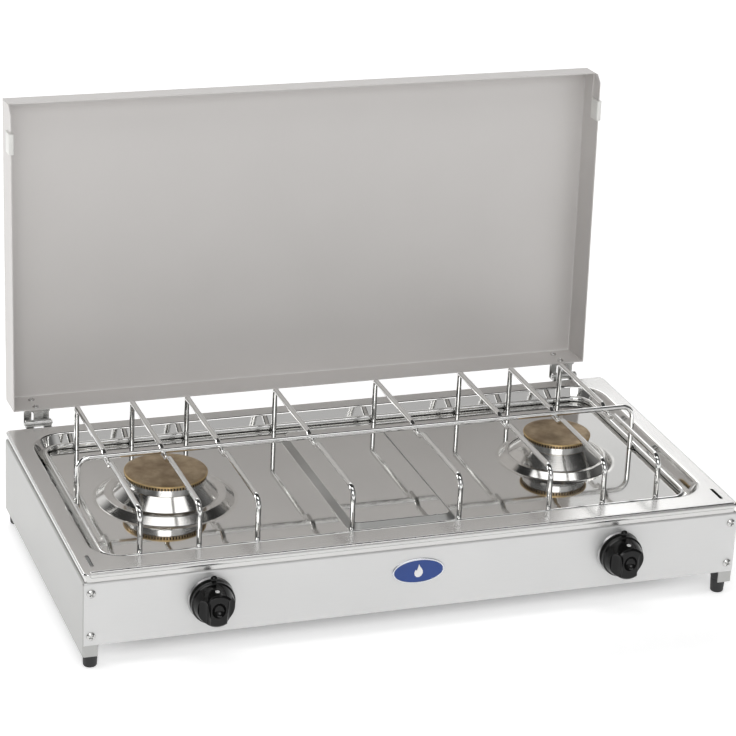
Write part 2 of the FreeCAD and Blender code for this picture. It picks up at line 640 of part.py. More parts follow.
def make_hinge(side, x):
    """Lid leaf with one barrel between the body leaf's two, on a fixed pin."""
    name = f"lid_leaf_{side}"
    plate = box(name + "_plate", ("-hinge_half", "-lid_back", "lid_height - lid_side"),
                ("hinge_half", "-lid_back + leaf", "lid_height - 3"))
    tongue = box(name + "_tongue", ("-lid_barrel_half", "-lid_back", "-1"),
                 ("lid_barrel_half", "-lid_back + leaf", "lid_height - lid_side + 1"))
    web = box(name + "_web", ("-lid_barrel_half", "-lid_back", "-1"), ("lid_barrel_half", "-1", "0.6"))
    tube, bore = hinge_barrel(name, "-lid_barrel_half", "2 * lid_barrel_half")
    leaf = cut(name, fuse(name + "_metal", plate, tongue, web, tube), bore)
    keep_on_lid(leaf, name, x)

    name = f"body_leaf_{side}"
    back = "case_depth / 2 - hinge_back"
    solids = [box(name + "_plate", ("-hinge_half", back, "-25"), ("hinge_half", f"{back} + leaf", "-barrel + 0.4"))]
    bores = []
    for end, start in (("near", "-hinge_half"), ("far", "body_barrel_start")):
        stretch = "hinge_half - body_barrel_start"
        high = "lid_back - leaf - 0.6"
        solids.append(box(f"{name}_{end}_tab", (start, back, "-barrel - 0.8"),
                          (f"{start} + {stretch}", "stop_back - hinge_back", "-barrel + 0.4")))
        solids.append(box(f"{name}_{end}_stop", (start, "stop_back - hinge_back - 1.2", "-barrel - 0.8"),
                          (f"{start} + {stretch}", "stop_back - hinge_back", high)))
        tube, bore = hinge_barrel(f"{name}_{end}", start, stretch)
        solids.append(tube)
        bores.append(bore)
    leaf = cut(name, fuse(name + "_metal", *solids), *bores)
    keep(leaf, name, x, "hinge_back + case_shift", "hinge_level")

    pin = cylinder(f"hinge_pin_{side}", "pin_radius", "2 * hinge_half + 2", ("0", "0", "0"), "x")
    keep(pin, f"hinge_pin_{side}", f"{x} - hinge_half - 1", "hinge_back + case_shift", "hinge_level",
         (0, 1, 0), 90)


def make_hinge_fasteners():
    """Screws through the lid flange into the lid leaves, and rivets through the body leaves."""
    spots = []
    for x in ("-hinge_place", "hinge_place"):
        for z in ("hinge_screw_low", "hinge_screw_high"):
            spots.append(((x, "-lid_back - metal", z), "-y"))
    make_screws("lid_hinge_screws", spots, "2.6", "1.25", "metal + leaf + 0.8")
    group = PIECES.pop()
    keep_on_lid(group, "lid_hinge_screws")
    rivets = []
    for x in ("-hinge_place", "hinge_place"):
        for offset in ("-5", "5"):
            rivets.append(((f"{x} + {offset}", "case_depth / 2 + leaf", "panel_top - 9"), "y"))
    make_screws("body_hinge_rivets", rivets, "2.2", "1.1", "leaf + metal + 1")


# ---------------------------------------------------------------- gas parts

def make_tap(side, x):
    """Tap body on the gas rail, its turning plug, sprung stem, and the burner's jet."""
    level, burner = "gas_level", f"{side}"
    name = f"tap_body_{burner}"
    length = "tap_back - tap_front"
    shell = fuse(name + "_metal",
                 cylinder(name + "_barrel", "tap_radius", length, ("0", "tap_front", level), "y"),
                 cylinder(name + "_riser", "5", f"{level} - rail_level - rail_radius",
                          ("0", "rail_front", "rail_level + rail_radius")))
    bore = cylinder(name + "_bore", "tap_bore + 0.05", "tap_back - tap_front - 4",
                    ("0", "tap_front", level), "y")
    inlet = cylinder(name + "_inlet", "2", f"{level} - rail_level - rail_radius - 4",
                     ("0", "rail_front", "rail_level + rail_radius"))
    outlet = cylinder(name + "_outlet", "2", "6", ("0", "tap_back - 5", level), "y")
    keep(cut(name, shell, bore, inlet, outlet), name, x)

    name = f"tap_plug_{burner}"
    core = cylinder(name + "_core", "tap_bore", "tap_back - 4 - plug_front", ("0", "plug_front", level), "y")
    socket = cylinder(name + "_socket", "stem_radius + 0.05", "tap_back - 5.5 - plug_front",
                      ("0", "plug_front", level), "y")
    keep(cut(name, core, socket), name, x)

    name = f"tap_stem_{burner}"
    start = "-case_depth / 2 - knob_gap - knob_depth + scoop_depth + 3"
    rod = cylinder(name + "_rod", "stem_radius", f"plug_front + 2 - ({start})", ("0", start, level), "y")
    collar = cylinder(name + "_collar", "tap_bore - 0.15", "1.2", ("0", "tap_front + 0.2", level), "y")
    keep(fuse(name, rod, collar), name, x)

    turns = 3
    thick, wide, coil = value("spring_thick"), value("spring_wide"), value("spring_coil")
    gap = value("plug_front - tap_front") - 1.4 - thick - 0.3
    helix = Part.makeHelix(gap / turns, gap, coil)
    corners = [(coil - wide / 2, -thick / 2), (coil + wide / 2, -thick / 2),
               (coil + wide / 2, thick / 2), (coil - wide / 2, thick / 2)]
    section = Part.makePolygon([FreeCAD.Vector(across, 0, along) for across, along in corners + corners[:1]])
    spring = shaped(f"tap_spring_{burner}", Part.Wire(helix).makePipeShell([section], True, True))
    keep(spring, f"tap_spring_{burner}", x, f"tap_front + 1.55 + {thick / 2} + case_shift", level, (1, 0, 0), -90)

    name = f"injector_{burner}"
    jet = cut(name, primitive("Cone", name + "_body", Radius1="4.5", Radius2="2.6", Height="6"),
              cylinder(name + "_bore", "0.45", "6", ("0", "0", "0")))
    keep(jet, name, x, "tap_back + case_shift", level, (1, 0, 0), -90)


def make_knob(side, x):
    """Control knob: skirt, cone, pointer nub, white mark and a raised grip across the face."""
    name = f"knob_{side}"
    body = new_body(name)
    back, edge = "0", "knob_radius"
    section = new_sketch(body, name + "_section", "XZ_Plane")
    outline(section, [("0", back), (f"{edge} - 1", back), (edge, "1"), (edge, "knob_skirt"),
                      ("knob_face + 0.4", "knob_depth - 1.2"), ("knob_face - 1", "knob_depth"),
                      ("0", "knob_depth")])
    turned("Revolution", section)
    for number, way in enumerate(("-", "")):
        scoop = new_sketch(body, f"{name}_scoop_{number}", "XY_Plane", offset="knob_depth")
        outline(scoop, [(f"{way}grip_half", "-knob_face + 3"), (f"{way}(knob_face - 5)", "-knob_face + 5"),
                        (f"{way}(knob_face - 2.2)", "-3"), (f"{way}(knob_face - 2.2)", "3"),
                        (f"{way}(knob_face - 5)", "knob_face - 5"), (f"{way}grip_half", "knob_face - 3")])
        pocket(scoop, "scoop_depth", up=False)
    nub = new_sketch(body, name + "_nub", "XY_Plane", offset="1")
    circle(nub, "0", "knob_radius + 2.4", "nub_radius")
    pad(nub, "knob_skirt - 1")
    shaft = new_sketch(body, name + "_shaft", "XY_Plane")
    circle(shaft, "0", "0", "stem_radius")
    pocket(shaft, "knob_depth - scoop_depth - 3")
    keep(body, name, x, "-case_depth / 2 - knob_gap + case_shift", "gas_level", (1, 0, 0), 90)

    name = f"knob_collar_{side}"
    ring = cut(name, primitive("Cone", name + "_ring", Radius1="collar_radius", Radius2="collar_radius - 1",
                               Height="collar_depth"),
               cylinder(name + "_hole", "stem_hole", "collar_depth", ("0", "0", "0")))
    keep(ring, name, x, "-case_depth / 2 + case_shift", "gas_level", (1, 0, 0), 90)


def make_gas_rail():
    """Pipe that feeds both taps and runs back along the right side to the hose inlet."""
    front, level, turn = value("rail_front"), value("rail_level"), value("rail_turn")
    start, end = -value("burner_place") - 14, value("case_depth / 2 - 4")
    route = [(start, front, level), (turn, front, level), (turn, end, level)]
    tube = bent_rod(route, 16, value("rail_radius")).cut(bent_rod(route, 16, value("rail_bore")))
    keep(shaped("gas_rail", tube), "gas_rail")

    name = "gas_rail_plug"
    plug = cylinder(name, "rail_radius", "3", ("0", "0", "0"), "x")
    keep(plug, name, f"{start} - 3", "rail_front + case_shift", "rail_level", (0, 1, 0), 90)

    name = "hose_inlet"
    metal = fuse(name + "_metal",
                 cylinder(name + "_nut", "rail_radius + 3", "5", ("0", "case_depth / 2", "0"), "y"),
                 cylinder(name + "_neck", "rail_radius", "4", ("0", "case_depth / 2 - 4", "0"), "y"),
                 cylinder(name + "_tail", "inlet_radius", "inlet_length", ("0", "case_depth / 2 + 5", "0"), "y"))
    bore = cylinder(name + "_bore", "2.4", "inlet_length + 9", ("0", "case_depth / 2 - 4", "0"), "y")
    keep(cut(name, metal, bore), name, "rail_turn", "case_shift", "rail_level")

    for side, x in (("left", "-burner_place + 45"), ("right", "burner_place - 45")):
        name = f"rail_clip_{side}"
        block = box(name + "_block", ("-6", "-case_depth / 2 + metal", "rail_level - rail_radius - 2"),
                    ("6", "rail_front + 2", "rail_level + rail_radius + 2"))
        hole = cylinder(name + "_hole", "rail_radius", "12", ("-6", "rail_front", "rail_level"), "x")
        keep(cut(name, block, hole), name, x)


# ---------------------------------------------------------------- assembly

make_cross_panel("front_panel", True)
make_cross_panel("back_panel", False)
make_side_panel("left_side_panel", "-1")
make_side_panel("right_side_panel", "1")
make_feet()
make_panel_screws()
make_badge()
make_hob_tray()
make_grate()
make_lid_shell()
make_lid_clip("lid_clip_left", -1)
make_lid_clip("lid_clip_right", 1)
make_hinge_fasteners()
make_gas_rail()
for side, sign in (("left", "-"), ("right", "")):
    make_burner(side, f"{sign}burner_place")
    make_hinge(side, f"{sign}hinge_place")
    make_tap(side, f"knob_middle + ({sign}knob_spread)")
    make_knob(side, f"knob_middle + ({sign}knob_spread)")
doc.recompute()

for item in doc.Objects:
    if "Invalid" in item.State or "Error" in item.State:
        raise RuntimeError(f"{item.Name} failed: {item.State}")
for piece in PIECES:
    if piece.Shape.isNull() or not piece.Shape.isValid():
        raise RuntimeError(f"{piece.Label} has no valid shape")

os.makedirs("parts", exist_ok=True)
for piece in PIECES:
    piece.Shape.exportStep(f"parts/{piece.Label}.step")
    print(f"{piece.Label}: {len(piece.Shape.Solids)} solid(s), {piece.Shape.Volume:.0f} mm3")
print(len(PIECES), "pieces")
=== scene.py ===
"""Looks for a two-burner camping stove with its lid open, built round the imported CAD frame.

Pieces are drawn in millimetres about the middle of the casing, as the CAD is, and then put into the
row frame in metres.  Lid pieces are drawn with the lid shut, about the hinge line.
"""
import json
import math

import bmesh
import bpy
from mathutils import Matrix, Vector


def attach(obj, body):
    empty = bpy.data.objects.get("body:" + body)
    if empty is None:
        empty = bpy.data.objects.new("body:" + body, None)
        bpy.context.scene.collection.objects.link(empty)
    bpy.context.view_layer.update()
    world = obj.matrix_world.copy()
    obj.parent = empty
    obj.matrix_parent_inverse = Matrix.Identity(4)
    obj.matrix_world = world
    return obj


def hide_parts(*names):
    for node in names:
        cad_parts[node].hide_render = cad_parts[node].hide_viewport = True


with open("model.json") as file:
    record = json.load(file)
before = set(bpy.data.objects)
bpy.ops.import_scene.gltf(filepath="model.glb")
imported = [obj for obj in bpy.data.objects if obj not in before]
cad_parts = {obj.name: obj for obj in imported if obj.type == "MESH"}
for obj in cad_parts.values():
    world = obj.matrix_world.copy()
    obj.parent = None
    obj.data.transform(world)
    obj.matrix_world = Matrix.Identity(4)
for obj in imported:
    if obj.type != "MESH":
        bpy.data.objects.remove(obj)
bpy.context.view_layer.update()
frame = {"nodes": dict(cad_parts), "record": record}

MM = 0.001
SHIFT, LIFT = -17.39, 2.0                       # the casing's middle along Y, and its rise off the floor
TO_ROW = Matrix.Translation((0, SHIFT * MM, LIFT * MM)) @ Matrix.Scale(MM, 4)
HALF_WIDTH, HALF_DEPTH = 250.0, 128.0           # casing
METAL = 0.8                                     # sheet thickness
RIM, FLOOR = 73.0, 63.0                         # levels of the hob tray
BURNERS = {                                     # centre, boss, flank, ring, cup, throat, cap, ports
    "left": (-156.3, 51.5, 45.0, 39.5, 29.5, 28.2, 31.0, 84),
    "right": (156.3, 44.0, 39.0, 36.8, 24.5, 23.2, 26.0, 70),
}
BURNER_BACK = 3.0
BOSS_SEAM, BOSS_SEGMENTS = 2.5, 128             # flat margin round a boss, and points round its seam
KNOBS = {"left": -158.4, "right": 154.2}
KNOB_LEVEL = 44.0
LID_HALF, LID_FREE, LID_REAR = 239.5, -252.0, -9.4
LID_TOP, LID_LOW = 33.8, 3.8
LID_SWING = 92.3                                # degrees from shut to open
HINGE_LINE = (0, 140.5, 71)
LID_PLACE = Matrix.Translation(HINGE_LINE) @ Matrix.Rotation(math.radians(-LID_SWING), 4, "X")
WELL = (-230, -99, 230, 109)                    # left, front, right and back of the tray's well
ISLAND = (-42.5, -87, 42.5, 91)
ISLAND_RISE = 5
FOOT_X, FOOT_Y = 242.8, 119.5
PANEL_SCREW_X, PANEL_SCREW_LEVELS = 244.4, (25, 58)
HINGE_X, HINGE_SCREW_LEVELS = 221, (9, 24.5)
BADGE_PLACE = (-3.4, -HALF_DEPTH, 47.5)
KNOB_STAND_OFF = 4.6                            # from the panel to the back of the knob


# ---------------------------------------------------------------- materials

def shader(name, **settings):
    """A material with one Principled shader, its node tree, and the shader node."""
    mat = bpy.data.materials.new(name)
    mat.use_nodes = True
    tree = mat.node_tree
    bsdf = tree.nodes["Principled BSDF"]
    for key, value in settings.items():
        bsdf.inputs[key.replace("_", " ")].default_value = value
    return mat, tree, bsdf


def node(tree, kind, **settings):
    """A new node, with settings given to its sockets or to its own properties."""
    made = tree.nodes.new(kind)
    for key, value in settings.items():
        if key in made.inputs:
            made.inputs[key].default_value = value
        else:
            setattr(made, key, value)
    return made


def stretched_noise(tree, stretch, scale, detail=3.0, roughness=0.5):
    """Noise that follows the object's own axes, drawn out by stretch."""
    where = node(tree, "ShaderNodeTexCoord")
    turn = node(tree, "ShaderNodeMapping")
    turn.inputs["Scale"].default_value = stretch
    noise = node(tree, "ShaderNodeTexNoise", Scale=scale, Detail=detail, Roughness=roughness)
    tree.links.new(where.outputs["Object"], turn.inputs["Vector"])
    tree.links.new(turn.outputs["Vector"], noise.inputs["Vector"])
    return noise.outputs["Fac"]


def ramp(tree, factor, *stops):
    """Colour ramp from (place, grey or colour) stops."""
    made = node(tree, "ShaderNodeValToRGB")
    steps = made.color_ramp.elements
    while len(steps) < len(stops):
        steps.new(0.5)
    for step, (place, shade) in zip(steps, stops):
        step.position = place
        step.color = (*shade, 1) if isinstance(shade, (tuple, list)) else (shade, shade, shade, 1)
    tree.links.new(factor, made.inputs["Fac"])
    return made.outputs["Color"]


def bump(tree, bsdf, height, strength, distance, under=None):
    """Bump the surface by height, on top of the bump named by under."""
    made = node(tree, "ShaderNodeBump", Strength=strength, Distance=distance)
    tree.links.new(height, made.inputs["Height"])
    if under is not None:
        tree.links.new(under, made.inputs["Normal"])
    tree.links.new(made.outputs["Normal"], bsdf.inputs["Normal"])
    return made.outputs["Normal"]


def steel(name, low, high, rough, grain=(1.5, 60, 60), spread=0.05, scratch=0.02, wave=0.0, metallic=1.0):
    """Rolled sheet: fine lines along the grain, clouds of tone and gloss, and a slight waviness."""
    mat, tree, bsdf = shader(name, Metallic=metallic)
    lines = stretched_noise(tree, grain, 60.0, 4.0, 0.6)
    clouds = stretched_noise(tree, (1, 1, 1), 9.0, 2.0)
    mix = node(tree, "ShaderNodeMath", operation="MULTIPLY_ADD")
    mix.inputs[1].default_value = 0.35
    tree.links.new(lines, mix.inputs[0])
    tree.links.new(clouds, mix.inputs[2])
    tree.links.new(ramp(tree, mix.outputs[0], (0.35, low), (0.9, high)), bsdf.inputs["Base Color"])
    tree.links.new(ramp(tree, mix.outputs[0], (0.3, rough - spread), (0.95, rough + spread)),
                   bsdf.inputs["Roughness"])
    swell = bump(tree, bsdf, stretched_noise(tree, (1, 1, 1), 11.0, 1.0), wave, 0.004) if wave else None
    bump(tree, bsdf, lines, scratch, 0.0002, swell)
    return mat


def moulded(name, colour, rough, dimple=0.02, **settings):
    """Moulded plastic or rubber with a fine surface and slightly uneven gloss."""
    mat, tree, bsdf = shader(name, **settings)
    clouds = stretched_noise(tree, (1, 1, 1), 40.0)
    dark = tuple(c * 0.85 for c in colour)
    tree.links.new(ramp(tree, clouds, (0.3, dark), (0.7, colour)), bsdf.inputs["Base Color"])
    tree.links.new(ramp(tree, clouds, (0.3, rough * 0.85), (0.7, min(1, rough * 1.15))),
                   bsdf.inputs["Roughness"])
    bump(tree, bsdf, stretched_noise(tree, (1, 1, 1), 900.0), dimple, 0.0002)
    return mat


def reach_from(tree, centre):
    """Distance from an upright line through centre, in metres."""
    where = node(tree, "ShaderNodeTexCoord")
    move = node(tree, "ShaderNodeMapping")
    move.inputs["Location"].default_value = (-centre[0], -centre[1], 0)
    flat = node(tree, "ShaderNodeVectorMath", operation="MULTIPLY")
    flat.inputs[1].default_value = (1, 1, 0)
    reach = node(tree, "ShaderNodeVectorMath", operation="LENGTH")
    tree.links.new(where.outputs["Object"], move.inputs["Vector"])
    tree.links.new(move.outputs["Vector"], flat.inputs[0])
    tree.links.new(flat.outputs["Vector"], reach.inputs[0])
    return reach.outputs["Value"]


def rings(tree, reach, pitch):
    """Lathe rings: a wave that runs outwards from the centre."""
    wave = node(tree, "ShaderNodeMath", operation="MULTIPLY")
    wave.inputs[1].default_value = 2 * math.pi / pitch
    sine = node(tree, "ShaderNodeMath", operation="SINE")
    tree.links.new(reach, wave.inputs[0])
    tree.links.new(wave.outputs[0], sine.inputs[0])
    return sine.outputs[0]


def turned_metal(name, centre, low, high, rough, pitch=0.0011, strength=0.05):
    """Lathe-turned metal: fine rings round one upright line, with uneven tone."""
    mat, tree, bsdf = shader(name, Metallic=1.0)
    clouds = stretched_noise(tree, (1, 1, 1), 130.0, 5.0, 0.65)
    tree.links.new(ramp(tree, clouds, (0.3, low), (0.7, high)), bsdf.inputs["Base Color"])
    tree.links.new(ramp(tree, clouds, (0.3, rough * 0.8), (0.7, rough * 1.2)), bsdf.inputs["Roughness"])
    bump(tree, bsdf, rings(tree, reach_from(tree, centre), pitch), strength, 0.0001)
    return mat


def burner_line(side):
    """Where a burner's upright middle line stands, in metres in the row frame."""
    return BURNERS[side][0] * MM, (BURNER_BACK + SHIFT) * MM


def cap_metal(name, centre, radius):
    """Brass cap dulled by heat in the middle, with a brighter golden edge that is partly the brass's own colour
    and partly a painted highlight along the rim, and blotches of brown.
    """
    mat, tree, bsdf = shader(name, Metallic=0.85)
    reach = reach_from(tree, centre)
    place = node(tree, "ShaderNodeMath", operation="DIVIDE")
    place.inputs[1].default_value = radius * MM
    tree.links.new(reach, place.inputs[0])
    # Brighter gold round the rim: the brass's own colour and partly a painted highlight.
    edge = ramp(tree, place.outputs[0], (0.975, 0.0), (0.99, 1.0))
    blotch = stretched_noise(tree, (1, 1, 1), 70.0, 6.0, 0.62)
    dull = ramp(tree, blotch, (0.30, (0.26, 0.18, 0.105)), (0.52, (0.40, 0.30, 0.185)),
                (0.72, (0.54, 0.42, 0.27)))
    gold_and_rim_highlight = ramp(tree, blotch, (0.3, (0.55, 0.38, 0.17)), (0.7, (0.75, 0.56, 0.30)))
    mix = node(tree, "ShaderNodeMix", data_type="RGBA")
    tree.links.new(edge, mix.inputs["Factor"])
    tree.links.new(dull, mix.inputs[6])
    tree.links.new(gold_and_rim_highlight, mix.inputs[7])
    tree.links.new(mix.outputs[2], bsdf.inputs["Base Color"])
    tree.links.new(ramp(tree, blotch, (0.3, 0.46), (0.7, 0.34)), bsdf.inputs["Roughness"])
    bump(tree, bsdf, rings(tree, reach, 0.0009), 0.06, 0.0001)
    return mat


# Rougher, darker copy of the tray steel for the island's slopes: the darker tone is painted shade.
SLOPE_SHADED_STEEL = steel("slope_painted_shade_steel", (0.40, 0.40, 0.39), (0.48, 0.48, 0.47), 0.5)
# Near-black steel for sheet backs and folds inside the casing: painted shade where no light reaches.
PAINTED_SHADE_STEEL = steel("inner_painted_shade", (0.05, 0.05, 0.05), (0.08, 0.08, 0.08), 0.55)
RIM_STEEL = steel("rim_steel", (0.60, 0.595, 0.585), (0.68, 0.675, 0.665), 0.24,
                  grain=(1, 40, 40), spread=0.03, scratch=0.01)
# Near-black for the walls inside the flame ports: painted shade in the holes.
PORT_SHADE = moulded("port_painted_shade", (0.030, 0.022, 0.016), 0.8)
PANEL = steel("panel_steel", (0.63, 0.63, 0.625), (0.69, 0.69, 0.685), 0.38,
              grain=(1.5, 60, 60), spread=0.04, scratch=0.015, wave=0.004, metallic=0.55)
# Side panels: a darker copy of the panel steel; the lower tone is painted shade on the casing's sides.
SIDE_SHADED_STEEL = steel("side_painted_shade_steel", (0.42, 0.42, 0.41), (0.48, 0.48, 0.47), 0.36,
             grain=(60, 1.5, 60), spread=0.04, scratch=0.015, wave=0.004, metallic=0.7)
TRAY = steel("tray_steel", (0.66, 0.655, 0.645), (0.72, 0.715, 0.70), 0.055,
             grain=(1, 40, 40), spread=0.02, scratch=0.004, wave=0.015)
LID = steel("lid_steel", (0.63, 0.61, 0.595), (0.67, 0.65, 0.635), 0.50,
            grain=(60, 60, 1.5), spread=0.04, scratch=0.01, wave=0.004, metallic=0.3)
HINGE = steel("hinge_steel", (0.50, 0.50, 0.49), (0.60, 0.60, 0.59), 0.28)
FASTENER = steel("fastener_steel", (0.55, 0.55, 0.54), (0.65, 0.65, 0.64), 0.22)
COLLAR = steel("collar_steel", (0.34, 0.34, 0.34), (0.42, 0.42, 0.42), 0.30)
PIPE = steel("pipe_steel", (0.40, 0.41, 0.42), (0.52, 0.53, 0.54), 0.40)
CHROME = steel("wire_chrome", (0.70, 0.70, 0.69), (0.78, 0.78, 0.77), 0.06,
               grain=(8, 8, 8), spread=0.02, scratch=0.006)
KNOB = moulded("knob_black", (0.004, 0.004, 0.004), 0.12, 0.01, Specular_IOR_Level=0.3)
RUBBER = moulded("foot_rubber", (0.016, 0.016, 0.017), 0.50, 0.15)
CLIP = moulded("clip_white", (0.85, 0.85, 0.82), 0.35)
PAINT = moulded("mark_white", (0.88, 0.88, 0.87), 0.35)
BADGE = moulded("badge_blue", (0.014, 0.056, 0.26), 0.14)
BADGE_RIM = steel("badge_rim", (0.60, 0.62, 0.66), (0.70, 0.72, 0.75), 0.25, (20, 20, 20))
BRASS = steel("gas_brass", (0.52, 0.38, 0.16), (0.62, 0.47, 0.22), 0.30, (20, 20, 20))

FINISHES = {
    "panel_steel": PANEL, "tray_steel": TRAY, "lid_steel": LID, "hinge_steel": HINGE,
    "fastener_steel": FASTENER, "grate_chrome": CHROME, "burner_aluminium": FASTENER, "cap_brass": BRASS,
    "gas_brass": BRASS, "pipe_steel": PIPE, "collar_steel": COLLAR, "knob_black": KNOB,
    "foot_rubber": RUBBER, "clip_white": CLIP, "badge_blue": BADGE,
}


# ---------------------------------------------------------------- mesh helpers

def rounded(points, radii, steps=6, closed=False):
    """Flat outline through points, with an arc of the given radius at each corner."""
    made = []
    count = len(points)
    for step, (point, radius) in enumerate(zip(points, radii)):
        corner = Vector(point)
        if radius == 0 or (not closed and step in (0, count - 1)):
            made.append(corner)
            continue
        before = (Vector(points[step - 1]) - corner).normalized()
        after = (Vector(points[(step + 1) % count]) - corner).normalized()
        half = before.angle(after) / 2
        centre = corner + (before + after).normalized() * radius / math.sin(half)
        start = corner + before * radius / math.tan(half) - centre
        end = corner + after * radius / math.tan(half) - centre
        first = math.atan2(start.y, start.x)
        turn = (math.atan2(end.y, end.x) - first + math.pi) % (2 * math.pi) - math.pi
        for part in range(steps + 1):
            angle = first + turn * part / steps
            made.append(centre + Vector((math.cos(angle), math.sin(angle))) * radius)
    return made


def rectangle(x0, y0, x1, y1, radius, level, steps=8):
    """Points round a rectangle with round corners, at one level."""
    corners = [(x0, y0), (x1, y0), (x1, y1), (x0, y1)]
    return [(p.x, p.y, level) for p in rounded(corners, [radius] * 4, steps, closed=True)]


def circle_angles(count):
    """Angles of evenly spaced points round a circle."""
    return [2 * math.pi * step / count for step in range(count)]


class Shell:
    """Collects the points and faces of one piece."""

    def __init__(self):
        self.bm = bmesh.new()

    def loop(self, points):
        return [self.bm.verts.new(point) for point in points]

    def face(self, points):
        return self.bm.faces.new(points)

    def skin(self, loops, closed=True):
        """Bands of faces from each loop to the next; a loop of one point closes a fan."""
        for first, second in zip(loops, loops[1:]):
            count = max(len(first), len(second))
            for step in range(count if closed else count - 1):
                following = (step + 1) % count
                if len(first) == 1:
                    self.face((first[0], second[step], second[following]))
                elif len(second) == 1:
                    self.face((first[step], first[following], second[0]))
                else:
                    self.face((first[step], first[following], second[following], second[step]))

    def fill(self, *loops):
        """Flat face between an outer loop and the holes inside it."""
        edges = []
        for loop in loops:
            for first, second in zip(loop, loop[1:] + loop[:1]):
                edges.append(self.bm.edges.get((first, second)) or self.bm.edges.new((first, second)))
        bmesh.ops.triangle_fill(self.bm, use_beauty=True, use_dissolve=False, edges=edges)

    def spin(self, profile, segments=96, centre=(0, 0)):
        """Turned shape from (radius, height) points."""
        loops = []
        for radius, height in profile:
            if radius < 1e-6:
                loops.append(self.loop([(centre[0], centre[1], height)]))
                continue
            loops.append(self.loop([(centre[0] + radius * math.cos(a),
                                     centre[1] + radius * math.sin(a), height)
                                    for a in circle_angles(segments)]))
        self.skin(loops)

    def extrude(self, outline, start, end, axis="z"):
        """Closed prism of a flat outline along one axis."""
        order = {"x": lambda p, s: (s, p[0], p[1]), "y": lambda p, s: (p[0], s, p[1]),
                 "z": lambda p, s: (p[0], p[1], s)}[axis]
        low = self.loop([order(p, start) for p in outline])
        high = self.loop([order(p, end) for p in outline])
        self.skin([low, high])
        self.fill(low)
        self.fill(high)

    def mesh(self, name, facing=None):
        """Turn the collected faces into a mesh; facing is a way that an open sheet's faces look."""
        bmesh.ops.remove_doubles(self.bm, verts=self.bm.verts, dist=0.0005)
        bmesh.ops.recalc_face_normals(self.bm, faces=self.bm.faces)
        if facing is not None:
            total = Vector((0, 0, 0))
            for face in self.bm.faces:
                total += face.normal * face.calc_area()
            if total.dot(Vector(facing)) < 0:
                bmesh.ops.reverse_faces(self.bm, faces=self.bm.faces)
        made = bpy.data.meshes.new(name)
        self.bm.to_mesh(made)
        self.bm.free()
        return made


def bake(obj):
    """Turn an object's modifiers into its own mesh."""
    ready = obj.evaluated_get(bpy.context.evaluated_depsgraph_get())
    mesh = bpy.data.meshes.new_from_object(ready)
    obj.modifiers.clear()
    obj.data = mesh


def add(name, mesh, material, body, replaced=(), place=Matrix.Identity(4), thick=0.0, bevel=0.0,
        sharp=35.0, inside=0):
    """Finish a mesh drawn in millimetres as one shown piece.

    thick makes a sheet of an open shell, and inside is how far on in the list of materials the finish of
    the sheet's back is.
    """
    mesh.transform(TO_ROW @ place)
    for finish in material if isinstance(material, list) else [material]:
        mesh.materials.append(finish)
    obj = bpy.data.objects.new(name, mesh)
    bpy.context.scene.collection.objects.link(obj)
    if thick:
        solid = obj.modifiers.new("thickness", "SOLIDIFY")
        solid.thickness = thick * MM
        solid.offset = -1
        solid.use_even_offset = True
        solid.material_offset = inside
    if bevel:
        soft = obj.modifiers.new("soft_edges", "BEVEL")
        soft.width = bevel * MM
        soft.segments = 3
        soft.limit_method = "ANGLE"
        soft.angle_limit = math.radians(30)
    if thick or bevel:
        bake(obj)
    obj.data.polygons.foreach_set("use_smooth", [True] * len(obj.data.polygons))
    obj.data.set_sharp_from_angle(angle=math.radians(sharp))
    even = obj.modifiers.new("even_shading", "WEIGHTED_NORMAL")
    even.keep_sharp = True
    even.weight = 60
    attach(obj, body)
    if replaced:
        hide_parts(*replaced)
    return obj


# ---------------------------------------------------------------- hob tray

